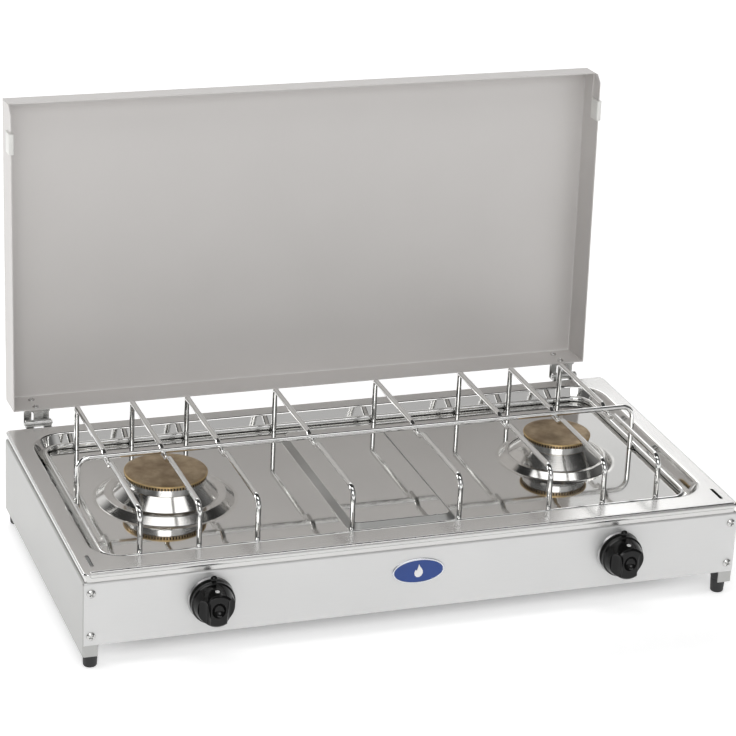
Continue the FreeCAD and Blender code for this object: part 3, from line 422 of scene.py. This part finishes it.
def make_tray():
    """Pressed tray: flat rim with two slots, rounded well, floor and raised middle island."""
    shell = Shell()

    def grown_loop(box, out, radius, level, steps):
        x0, y0, x1, y1 = box
        return shell.loop(rectangle(x0 - out, y0 - out, x1 + out, y1 + out, radius, level, steps))

    wall = rounded([(-6, FLOOR), (0, FLOOR), (6.01, RIM), (9, RIM)], [0, 4.5, 3.2, 0], 8)
    wall_loops = [grown_loop(WELL, p.x, 20 + p.x, p.y, 10) for p in wall]
    shell.skin(wall_loops)

    island_top = FLOOR + ISLAND_RISE
    rise = rounded([(3, FLOOR), (0, FLOOR), (-4.66, island_top), (-8, island_top)], [0, 1.6, 1.4, 0], 5)
    island_loops = [grown_loop(ISLAND, p.x, max(10 + p.x, 1), p.y, 8) for p in rise]
    shell.skin(island_loops)
    shell.fill(island_loops[-1])

    holes = [island_loops[0]]
    for centre, boss, *_ in BURNERS.values():
        reach = boss + BOSS_SEAM
        holes.append(shell.loop([(centre + reach * math.cos(a), BURNER_BACK + reach * math.sin(a), FLOOR)
                                 for a in circle_angles(BOSS_SEGMENTS)]))
    shell.fill(wall_loops[0], *holes)

    brim = (-248, -126.2, 248, 126.2)
    roll = rounded([(0, RIM), (2, RIM), (2, 70.3), (0.5, 70.3), (0.5, 66)], [0, 1.5, 0.7, 0.4, 0], 6)
    edge_loops = [grown_loop(brim, p.x, 2.2 + p.x, p.y, 5) for p in roll]
    shell.skin(edge_loops)
    slots = []
    for x in (-241, 241):
        slots.append(shell.loop(rectangle(x - 1.3, -116.5, x + 1.3, -98.5, 0.5, RIM, 2)))
    shell.fill(edge_loops[0], wall_loops[-1], *slots)
    pressing = shell.mesh("hob_tray_pressing", (0, 0, 1))
    # The pressing's back takes the near-black steel: painted shade under the tray.
    finishes = [TRAY, RIM_STEEL, SLOPE_SHADED_STEEL, PAINTED_SHADE_STEEL]
    for face in pressing.polygons:
        x, y, z = face.center
        on_rim = z > RIM - 0.1 or abs(y) > HALF_DEPTH - 1.9
        # Island slopes take the darker steel: painted shade on the slopes.
        on_shaded_island_slope = abs(x) < 49 and -94 < y < 98 and FLOOR + 0.3 < z < island_top - 0.3
        finish = RIM_STEEL if on_rim else SLOPE_SHADED_STEEL if on_shaded_island_slope else TRAY
        face.material_index = finishes.index(finish)
    add("hob_tray_pressing", pressing, finishes, "casing",
        ["hob_tray", "hob_floor"], thick=METAL, inside=finishes.index(PAINTED_SHADE_STEEL))

    bead = Shell()
    ends = rounded([(0, -245), (2.6, -245), (2.6, 245), (0, 245)], [0, 0.8, 0.8, 0], 5)
    bead.spin([(p.x, p.y) for p in ends], 40)
    front_edge = Matrix.Translation((0, -HALF_DEPTH, RIM - METAL / 2))
    add("hob_tray_front_bead", bead.mesh("hob_tray_front_bead"), RIM_STEEL, "casing",
        place=front_edge @ Matrix.Rotation(math.radians(90), 4, "Y"))


def make_boss(side):
    """Spun boss round one burner: flank, flat ring, and a cone that rises to the throat."""
    x, boss, flank, ring, cup, throat, _, _ = BURNERS[side]
    cone_top = FLOOR + 13.5
    profile = rounded([(boss + BOSS_SEAM, FLOOR), (boss, FLOOR), (flank, FLOOR + 5), (ring + 0.3, FLOOR + 5),
                       (ring - 0.6, FLOOR + 4.5), (cup, cone_top), (throat, cone_top),
                       (throat, cone_top - 3.5)],
                      [0, 1.8, 1.3, 0.5, 0.7, 1.2, 0.6, 0], 6)
    shell = Shell()
    shell.spin([(p.x, p.y) for p in profile], BOSS_SEGMENTS, (x, BURNER_BACK))
    finish = turned_metal("boss_steel_" + side, burner_line(side), (0.62, 0.61, 0.59), (0.70, 0.69, 0.67),
                          0.15, pitch=0.0013, strength=0.004)
    add("hob_tray_boss_" + side, shell.mesh("boss", (0, 0, 1)), finish, "casing",
        ["hob_boss_" + side], thick=METAL)


# ---------------------------------------------------------------- casing

def make_cross_panel(name, side):
    """Front or back panel with its edges folded inward over round bends."""
    shell = Shell()
    face = side * HALF_DEPTH
    short, long = 1.7, 10                       # reach of the folds near the corners and between them
    loops = []
    for x, reach in ((-249.4, short), (-232.1, short), (-232, long),
                     (232, long), (232.1, short), (249.4, short)):
        lip = face - side * reach
        section = rounded([(lip, 17), (face, 17), (face, 66), (lip, 66)], [0, 1.6, 1.6, 0], 6)
        loops.append(shell.loop([(x, p.x, p.y) for p in section]))
    shell.skin(loops, closed=False)
    add(name + "_folded", shell.mesh(name, (0, side, 0)), PANEL, "casing", [name], thick=METAL)


def make_side_panel(name, side):
    """Side panel: web with bent corners that run down as legs, a folded top, and tabs for the feet."""
    shell = Shell()
    web, lip = side * HALF_WIDTH, side * (HALF_WIDTH - 11)
    plan = rounded([(lip, -127.2), (web, -127.2), (web, 127.2), (lip, 127.2)], [0, 1.6, 1.6, 0], 6)
    low = shell.loop([(p.x, p.y, 8.5) for p in plan])
    high = shell.loop([(p.x, p.y, 64.2) for p in plan])
    shell.skin([low, high], closed=False)
    fold = rounded([(web, 64.2), (web, 66), (side * (HALF_WIDTH - 10), 66)], [0, 1.79, 0], 6)
    shell.skin([shell.loop([(p.x, y, p.y) for p in fold]) for y in (-125.6, 125.6)], closed=False)
    mesh = shell.mesh(name, (side, 0, 0))
    # The top fold, seen only through the rim slots, takes the near-black steel as painted shade; the web takes
    # the side steel, darker as painted shade.
    for face in mesh.polygons:
        face.material_index = 1 if face.center.z > 65.9 else 0
    add(name + "_folded", mesh, [SIDE_SHADED_STEEL, PAINTED_SHADE_STEEL], "casing", [name], thick=METAL)
    for end, y in (("front", -1), ("back", 1)):
        tab = Shell()
        outline = rounded([(side * 249.2, y * 126.4), (side * 234, y * 126.4), (side * 234, y * 111),
                           (side * 249.2, y * 111)], [0.1, 0.1, 4, 0.1], 5, closed=True)
        tab.extrude([(p.x, p.y) for p in outline], 20.2, 21.0)
        add(f"{name}_{end}_foot_tab", tab.mesh("tab"), SIDE_SHADED_STEEL, "casing")


def make_foot(name, x, y):
    """Rubber foot: tapered, rounded below, with a moulded band and a stud through the tab."""
    profile = rounded([(0, -LIFT), (4.9, -LIFT), (5.5, 8.6), (5.3, 9.0), (5.3, 9.6), (5.6, 10.0),
                       (6.2, 20.2), (2.5, 20.2), (2.5, 21.0), (3.3, 21.0), (1.7, 24.2), (0, 24.2)],
                      [0, 1.4, 0.2, 0.2, 0.2, 0.2, 0.6, 0, 0, 0.2, 0.5, 0], 4)
    shell = Shell()
    shell.spin([(p.x, p.y) for p in profile], 48)
    add(name + "_rubber", shell.mesh(name), RUBBER, "casing", [name],
        place=Matrix.Translation((x, y, 0)))


def screw_mesh(head, height, shank, length):
    """Pan-head screw with a cross recess, its head facing +Z from the origin."""
    body = Shell()
    crown = rounded([(0, height), (head * 0.55, height), (head, height * 0.45), (head, 0), (shank, 0),
                     (shank, -length), (0, -length)], [0, head * 0.5, head * 0.18, 0.1, 0, 0.3, 0], 5)
    body.spin([(p.x, p.y) for p in crown], 40)
    obj = bpy.data.objects.new("screw_blank", body.mesh("screw_blank"))
    cross = Shell()
    arm, thin = head * 0.62, head * 0.17
    outline = [(-arm, -thin), (-thin, -thin), (-thin, -arm), (thin, -arm), (thin, -thin), (arm, -thin),
               (arm, thin), (thin, thin), (thin, arm), (-thin, arm), (-thin, thin), (-arm, thin)]
    deep = cross.loop([(x * 0.7, y * 0.7, height * 0.25) for x, y in outline])
    proud = cross.loop([(x, y, height + 0.4) for x, y in outline])
    cross.skin([deep, proud])
    cross.fill(deep)
    cross.fill(proud)
    tool = bpy.data.objects.new("screw_recess", cross.mesh("screw_recess"))
    for thing in (obj, tool):
        bpy.context.scene.collection.objects.link(thing)
    cutter = obj.modifiers.new("recess", "BOOLEAN")
    cutter.operation = "DIFFERENCE"
    cutter.solver = "EXACT"
    cutter.object = tool
    bake(obj)
    mesh = obj.data
    bpy.data.objects.remove(obj)
    bpy.data.objects.remove(tool)
    return mesh


def make_screws(name, spots, mesh, body, place=Matrix.Identity(4)):
    """Copies of one screw, joined into one piece; each spot is a point, a way to face and a turn."""
    group = bmesh.new()
    for at, facing, turn in spots:
        copy = mesh.copy()
        aim = Vector(facing).to_track_quat("Z", "Y").to_matrix().to_4x4()
        copy.transform(Matrix.Translation(at) @ aim @ Matrix.Rotation(math.radians(turn), 4, "Z"))
        group.from_mesh(copy)
        bpy.data.meshes.remove(copy)
    joined = bpy.data.meshes.new(name)
    group.to_mesh(joined)
    group.free()
    add(name + "_cross_head", joined, FASTENER, body, [name], place=place)


def make_badge():
    """Oval enamel badge with a pale metal edge and a plain flame."""
    long, short = 20.0, 10.0
    place = Matrix.Translation(BADGE_PLACE) @ Matrix.Rotation(math.radians(90), 4, "X")
    shell = Shell()

    def oval(inset, height):
        return shell.loop([((long - inset) * math.cos(a), (short - inset) * math.sin(a), height)
                           for a in circle_angles(96)])

    edge = [oval(0, 0), oval(0, 0.55), oval(0.25, 0.85), oval(0.9, 0.9), oval(1.3, 0.75)]
    shell.skin(edge)
    shell.fill(edge[0])
    edge_faces = len(shell.bm.faces)
    crown = ((1.45, 0.62), (3, 0.74), (6, 0.84), (8.5, 0.88))
    face = [edge[-1]] + [oval(inset, height) for inset, height in crown]
    shell.skin(face)
    shell.fill(face[-1])
    for number, part in enumerate(shell.bm.faces):
        part.material_index = 1 if number < edge_faces else 0
    add("badge_oval", shell.mesh("badge"), [BADGE, BADGE_RIM], "casing", ["badge"],
        place=place)
    flame = Shell()
    outline = [(0.0, 5.6), (0.7, 3.9), (2.0, 2.2), (3.0, 0.4), (3.2, -1.6), (2.3, -3.6), (0.6, -4.7),
               (-1.3, -4.6), (-2.8, -3.3), (-3.3, -1.4), (-2.9, 0.3), (-2.1, 1.5), (-1.7, 0.4),
               (-1.0, 1.6), (-0.5, 3.4)]
    flame.extrude(outline, 0.80, 1.0)
    add("badge_flame", flame.mesh("flame"), PAINT, "casing", place=place, sharp=25)


# ---------------------------------------------------------------- burner caps

def make_cap(side):
    """Brass burner cap with a ring of flame ports cut in under its edge."""
    x, _, _, _, cup, throat, radius, ports = BURNERS[side]
    shell = Shell()
    count = ports * 4                           # two steps round for a port, and two for the wall beside it
    low, high, deep = 81.5, 83.6, 4.0           # levels and depth of the ports
    band = radius - 0.55

    def ring(reach, height):
        return shell.loop([(reach * math.cos(a), reach * math.sin(a), height) for a in circle_angles(count)])

    crown = rounded([(0, 85.5), (radius - 3, 85.45), (radius, 84.9), (radius, 83.8), (band, high)],
                    [0, 2.0, 0.5, 0.2, 0], 4)
    top = [ring(p.x, p.y) if p.x > 1e-6 else shell.loop([(0, 0, p.y)]) for p in crown]
    shell.skin(top)
    wall = 2.2
    inner = throat - 0.2 - wall - 0.3
    base = [ring(band - 0.15, low), ring(cup - 0.35, 81.4), ring(cup - 0.5, 81.32), ring(inner, 81.32),
            ring(inner, 75.8), ring(inner - wall, 75.8), ring(inner - wall, 83.0), shell.loop([(0, 0, 83.0)])]
    shell.skin(base)
    upper, lower = top[-1], base[0]
    for port in range(ports):
        places = [(port * 4 + step) % count for step in range(5)]
        back = []
        for place in places[:3]:
            a = 2 * math.pi * place / count
            across, along = (band - deep) * math.cos(a), (band - deep) * math.sin(a)
            back.append(shell.loop([(across, along, level) for level in (low, high)]))
        inside = []
        for step in range(2):
            here, there = places[step], places[step + 1]
            inside.append(shell.face((back[step][0], back[step + 1][0], back[step + 1][1], back[step][1])))
            inside.append(shell.face((lower[here], lower[there], back[step + 1][0], back[step][0])))
            inside.append(shell.face((upper[here], upper[there], back[step + 1][1], back[step][1])))
        for step in (0, 2):
            here = places[step]
            inside.append(shell.face((lower[here], upper[here], back[step][1], back[step][0])))
        # Port walls take the second finish: painted shade inside the ports.
        for side_face in inside:
            side_face.material_index = 1
        for step in (2, 3):
            here, there = places[step], places[step + 1]
            shell.face((lower[here], lower[there], upper[there], upper[here]))
    finish = cap_metal("cap_brass_" + side, burner_line(side), radius)
    add("burner_cap_ported_" + side, shell.mesh("cap"), [finish, PORT_SHADE], "burner_cap_" + side,
        ["burner_cap_" + side], place=Matrix.Translation((x, BURNER_BACK, 0)))


# ---------------------------------------------------------------- knobs

def make_knob(side):
    """Control knob: skirt with a ball pointer, cone, and a finger grip between two hollows."""
    x = KNOBS[side]
    stand = Matrix.Translation((x, -HALF_DEPTH - KNOB_STAND_OFF, KNOB_LEVEL))
    place = stand @ Matrix.Rotation(math.radians(90), 4, "X")
    profile = rounded([(0, 1.0), (3.0, 1.0), (3.0, 0), (15.2, 0), (16.0, 0.8), (16.0, 3.2), (15.0, 3.9),
                       (12.3, 15.8), (11.0, 17.0), (0, 17.0)],
                      [0, 0, 0, 0.4, 0.4, 0.7, 0.6, 0.9, 0.9, 0], 5)
    body = Shell()
    body.spin([(p.x, p.y) for p in profile], 96)
    knob = bpy.data.objects.new("knob_blank", body.mesh("knob_blank"))
    bpy.context.scene.collection.objects.link(knob)
    hollows = [                                 # middle across, up and out; half sizes; and squareness
        (-11.6, -2.5, 18.2, 5.8, 10.8, 8.6, 5.0),
        (11.6, -2.5, 18.2, 5.8, 10.8, 8.6, 5.0),
        (0, 0.8, 19.6, 5.6, 6.4, 6.2, 2.0),
    ]
    bands = 32
    for across, up, out, half_wide, half_tall, depth, square in hollows:
        scoop = Shell()
        loops = []
        for step in range(1, bands):
            along = -math.cos(math.pi * step / bands)
            swell = (1 - abs(along) ** square) ** (1 / square)
            loops.append(scoop.loop([(across + half_wide * swell * math.cos(a), up + half_tall * along,
                                      out + depth * swell * math.sin(a)) for a in circle_angles(48)]))
        scoop.skin(loops)
        scoop.fill(loops[0])
        scoop.fill(loops[-1])
        tool = bpy.data.objects.new("scoop", scoop.mesh("scoop"))
        bpy.context.scene.collection.objects.link(tool)
        cutter = knob.modifiers.new("hollow", "BOOLEAN")
        cutter.operation = "DIFFERENCE"
        cutter.solver = "EXACT"
        cutter.object = tool
        bake(knob)
        bpy.data.objects.remove(tool)
    mesh = knob.data
    bpy.data.objects.remove(knob)
    add("knob_moulding_" + side, mesh, KNOB, "knob_" + side, ["knob_" + side], place=place,
        bevel=0.35, sharp=40)
    ball = Shell()
    dome = []
    for step in range(21):
        a = math.pi * step / 20
        dome.append((2.6 * math.sin(a), 2.2 - 2.2 * math.cos(a)))
    ball.spin(dome, 32, (0, 18.4))
    ball.extrude([(-1.6, 14.5), (1.6, 14.5), (1.6, 18.0), (-1.6, 18.0)], 0.7, 3.2)
    add("knob_pointer_" + side, ball.mesh("pointer"), KNOB, "knob_" + side, place=place)
    mark = Shell()
    mark.spin([(0, 0.32), (1.2, 0.28), (1.6, 0.05), (1.5, -0.4), (0, -0.4)], 28)
    lean = Matrix.Translation((0, 13.25, 11.6)) @ Matrix.Rotation(math.radians(-77.2), 4, "X")
    add("knob_mark_" + side, mark.mesh("mark"), PAINT, "knob_" + side, place=place @ lean)


# ---------------------------------------------------------------- lid

def make_lid():
    """Folded lid: flat face, round bends, four flanges and lapped corner tabs at the free end."""
    shell = Shell()
    bend = 2.2
    loops = []
    for step in range(8):
        a = math.pi / 2 * step / 7
        out, drop = bend * math.sin(a), bend * (1 - math.cos(a))
        half, free, rear = LID_HALF - bend + out, LID_FREE + bend - out, LID_REAR - bend + out
        level = LID_TOP - drop
        loops.append(shell.loop([(-half, free, level), (half, free, level),
                                 (half, rear, level), (-half, rear, level)]))
    shell.skin(loops)
    shell.fill(loops[0])
    free_left, free_right, rear_right, rear_left = loops[-1]
    base = LID_TOP - bend
    for way, free, rear in ((-1, free_left, rear_left), (1, free_right, rear_right)):
        x = way * LID_HALF
        down = shell.loop([(x, LID_FREE, LID_LOW + 6), (x, LID_FREE + 6, LID_LOW), (x, LID_REAR, LID_LOW)])
        shell.face((free, *down, rear))
    bottom = shell.loop([(LID_HALF, LID_REAR, LID_LOW), (-LID_HALF, LID_REAR, LID_LOW)])
    shell.face((rear_right, bottom[0], bottom[1], rear_left))
    lift = LID_TOP - 19.4
    inset = LID_HALF - 0.4
    shell.face(shell.loop([(-inset, LID_FREE, base), (inset, LID_FREE, base),
                           (inset, LID_FREE, lift), (-inset, LID_FREE, lift)]))
    add("lid_folded", shell.mesh("lid", (0, 0, 1)), LID, "lid", ["lid_shell"], place=LID_PLACE,
        thick=METAL)
    for side, way in (("left", -1), ("right", 1)):
        tab = Shell()
        near, far = LID_FREE + 1, LID_FREE + 22
        outline = [(near, base), (far, base - 3), (far, lift + 1.5), (near, lift)]
        inner = way * (LID_HALF - METAL - 0.05)
        tab.extrude(outline, inner, inner - way * METAL, "x")
        add("lid_corner_tab_" + side, tab.mesh("tab"), LID, "lid", place=LID_PLACE, bevel=0.2)


def make_lid_clip(side, way):
    """Moulded clip pushed over the free edge of a side flange."""
    inner, outer = -1.5, METAL + 1.5
    low, high = LID_LOW - 1.5, LID_LOW + 11
    outline = rounded([(inner, low), (outer, low), (outer, high), (METAL, high),
                       (METAL, LID_LOW), (0, LID_LOW), (0, high), (inner, high)],
                      [1.0, 1.0, 0.5, 0, 0, 0, 0, 0.5], 4, closed=True)
    start = LID_HALF - METAL if way > 0 else -LID_HALF
    shell = Shell()
    shell.extrude([(start + p.x, p.y) for p in outline], -231.5, -215.5, "y")
    add("lid_clip_moulded_" + side, shell.mesh("clip"), CLIP, "lid", ["lid_clip_" + side],
        place=LID_PLACE, bevel=0.3)


# ---------------------------------------------------------------- grate welds

def make_welds():
    """Small weld beads where the grate's wires cross."""
    spots = []
    centre, pitch, middle = 156.3, 43.5, 41.5
    hoops = [-centre - pitch, -centre, -centre + pitch, -middle, middle, centre - pitch, centre, centre + pitch]
    frame_level, wire_level, long_hoop_back = 66.2, 96.6, 8
    for x in hoops:
        spots += [(x, -90.4, frame_level), (x, 104.4, frame_level), (x, long_hoop_back, wire_level)]
    for x in (-223.7, 223.7):
        spots.append((x, long_hoop_back, frame_level))
    shell = Shell()
    for x, y, z in spots:
        bead = []
        for step in range(9):
            a = math.pi * step / 8
            bead.append((1.5 * math.sin(a), z - 1.3 * math.cos(a)))
        shell.spin(bead, 14, (x, y))
    add("grate_welds", shell.mesh("welds"), CHROME, "grate")


# ---------------------------------------------------------------- floor, light and camera

def fade(tree, place, middle, full, none):
    """One within full metres of the middle, falling smoothly to nought at none metres."""
    away = node(tree, "ShaderNodeMath", operation="SUBTRACT")
    tree.links.new(place, away.inputs[0])
    away.inputs[1].default_value = middle
    size = node(tree, "ShaderNodeMath", operation="ABSOLUTE")
    tree.links.new(away.outputs[0], size.inputs[0])
    within = node(tree, "ShaderNodeMapRange", interpolation_type="SMOOTHSTEP")
    tree.links.new(size.outputs[0], within.inputs["Value"])
    within.inputs["From Min"].default_value = none
    within.inputs["From Max"].default_value = full
    return within.outputs[0]


def make_floor():
    """Pale studio table, lit a little from within, with the glow faded out under the stove as a painted shadow.
    """
    mesh = bpy.data.meshes.new("floor")
    half = 12.0
    mesh.from_pydata([(-half, -half, 0), (half, -half, 0), (half, half, 0), (-half, half, 0)], [],
                     [(0, 1, 2, 3)])
    floor = bpy.data.objects.new("floor", mesh)
    bpy.context.scene.collection.objects.link(floor)
    glow = 0.52
    mat, tree, bsdf = shader("floor_pale", Roughness=0.9, Emission_Color=(1, 1, 1, 1), Emission_Strength=glow)
    where = node(tree, "ShaderNodeSeparateXYZ")
    tree.links.new(node(tree, "ShaderNodeTexCoord").outputs["Object"], where.inputs[0])
    # Painted shadow: the glow fades to nothing under the stove's footprint.
    under = node(tree, "ShaderNodeMath", operation="MULTIPLY")
    tree.links.new(fade(tree, where.outputs["X"], 0.0, 0.19, 0.24), under.inputs[0])
    tree.links.new(fade(tree, where.outputs["Y"], SHIFT * MM, 0.06, 0.118), under.inputs[1])
    lit = node(tree, "ShaderNodeMath", operation="MULTIPLY_ADD")
    tree.links.new(under.outputs[0], lit.inputs[0])
    lit.inputs[1].default_value = -glow
    lit.inputs[2].default_value = glow
    tree.links.new(lit.outputs[0], bsdf.inputs["Emission Strength"])
    tree.links.new(ramp(tree, stretched_noise(tree, (1, 1, 1), 3.0), (0.3, 0.92), (0.7, 0.95)),
                   bsdf.inputs["Base Color"])
    mesh.materials.append(mat)


def make_world():
    """Studio room: bright backdrop behind the stove, darker behind the camera."""
    world = bpy.data.worlds.new("studio")
    bpy.context.scene.world = world
    world.use_nodes = True
    tree = world.node_tree
    back = tree.nodes["Background"]
    where = node(tree, "ShaderNodeTexCoord")

    def shade(direction, *stops):
        """Grey that changes with how far a way of looking leans towards direction."""
        toward = node(tree, "ShaderNodeVectorMath", operation="DOT_PRODUCT")
        toward.inputs[1].default_value = direction
        half = node(tree, "ShaderNodeMath", operation="MULTIPLY_ADD")
        half.inputs[1].default_value = 0.5
        half.inputs[2].default_value = 0.5
        tree.links.new(where.outputs["Generated"], toward.inputs[0])
        tree.links.new(toward.outputs["Value"], half.inputs[0])
        return ramp(tree, half.outputs[0], *stops)

    depth = shade((0.10, 0.94, 0.0), (0.0, 0.62), (0.45, 0.66), (0.85, 1.0))
    height = shade((0, 0.18, 1), (0.50, 1.0), (0.76, 0.92), (0.84, 0.18), (1.0, 0.07))
    sides = shade((1, 0, 0), (0.02, 0.22), (0.20, 0.25), (0.32, 1.0), (0.72, 1.0), (0.84, 0.25), (0.98, 0.22))
    light = depth
    for factor in (height, sides):
        both = node(tree, "ShaderNodeMix", data_type="RGBA", blend_type="MULTIPLY")
        both.inputs["Factor"].default_value = 1.0
        tree.links.new(light, both.inputs[6])
        tree.links.new(factor, both.inputs[7])
        light = both.outputs[2]
    tree.links.new(light, back.inputs["Color"])
    back.inputs["Strength"].default_value = 1.0


def area_light(name, place, target, size, power):
    """Soft rectangular lamp at place, aimed at target."""
    light = bpy.data.lights.new(name, "AREA")
    light.shape = "RECTANGLE"
    light.size, light.size_y = size
    light.energy = power
    lamp = bpy.data.objects.new(name, light)
    lamp.location = place
    lamp.rotation_euler = (Vector(target) - Vector(place)).to_track_quat("-Z", "Y").to_euler()
    bpy.context.scene.collection.objects.link(lamp)


def make_camera():
    """Long-lens camera to the left of the front and above it, with a slight roll."""
    turn, drop, roll = math.radians(20.07), math.radians(22.05), math.radians(2.825)
    ahead = Vector((math.sin(turn) * math.cos(drop), math.cos(turn) * math.cos(drop), -math.sin(drop)))
    level = Vector((math.cos(turn), -math.sin(turn), 0))
    above = level.cross(ahead)
    right = level * math.cos(roll) + above * math.sin(roll)
    up = above * math.cos(roll) - level * math.sin(roll)
    data = bpy.data.cameras.new("camera")
    data.sensor_width = 36
    data.lens = 134.95
    data.clip_end = 100
    camera = bpy.data.objects.new("camera", data)
    turned_to = Matrix((right, up, -ahead)).transposed().to_4x4()
    camera.matrix_world = Matrix.Translation((-0.65664, -1.80717, 0.92761)) @ turned_to
    bpy.context.scene.collection.objects.link(camera)
    bpy.context.scene.camera = camera


# ---------------------------------------------------------------- assembly

for part in frame["record"]["subparts"]:
    mesh = frame["nodes"][part["node"]].data
    mesh.materials.clear()
    mesh.materials.append(FINISHES[part["material_slot"]])
for side in BURNERS:
    bright = turned_metal("burner_aluminium_" + side, burner_line(side), (0.70, 0.70, 0.69),
                          (0.80, 0.80, 0.79), 0.20)
    frame["nodes"]["burner_cup_" + side].data.materials[0] = bright

make_tray()
for side in BURNERS:
    make_boss(side)
    make_cap(side)
    make_knob(side)
make_cross_panel("front_panel", -1)
make_cross_panel("back_panel", 1)
make_side_panel("left_side_panel", -1)
make_side_panel("right_side_panel", 1)
for end, y in (("front", -FOOT_Y), ("back", FOOT_Y)):
    for side, x in (("left", -FOOT_X), ("right", FOOT_X)):
        make_foot(f"foot_{end}_{side}", x, y)
panel_spots = []
for y, facing in ((-HALF_DEPTH, (0, -1, 0)), (HALF_DEPTH, (0, 1, 0))):
    for x in (-PANEL_SCREW_X, PANEL_SCREW_X):
        for z in PANEL_SCREW_LEVELS:
            panel_spots.append(((x, y, z), facing, 20 + x + 3 * z))
make_screws("panel_screws", panel_spots, screw_mesh(3.2, 1.76, 1.5, 4), "casing")
lid_spots = []
for x in (-HINGE_X, HINGE_X):
    for z in HINGE_SCREW_LEVELS:
        lid_spots.append(((x, LID_REAR - METAL, z), (0, -1, 0), x + 2 * z))
make_screws("lid_hinge_screws", lid_spots, screw_mesh(2.6, 1.43, 1.25, 3), "lid", LID_PLACE)
make_badge()
make_lid()
make_lid_clip("left", -1)
make_lid_clip("right", 1)
make_welds()

make_floor()
make_world()
area_light("soft_above", (-0.2, -0.74, 2.3), (0, 0, 0), (2.8, 0.84), 14)
area_light("soft_front", (-0.9, -3.0, 2.0), (0, 0, 0.15), (2.2, 1.4), 30)
area_light("soft_left", (-2.2, 1.3, 0.6), (-0.15, 0, 0.1), (0.5, 0.9), 16)
area_light("soft_behind", (0.4, 3.2, 2.6), (0.4, 2.6, 0), (4.0, 2.0), 60)
make_camera()
bpy.context.scene.view_settings.view_transform = "Standard"
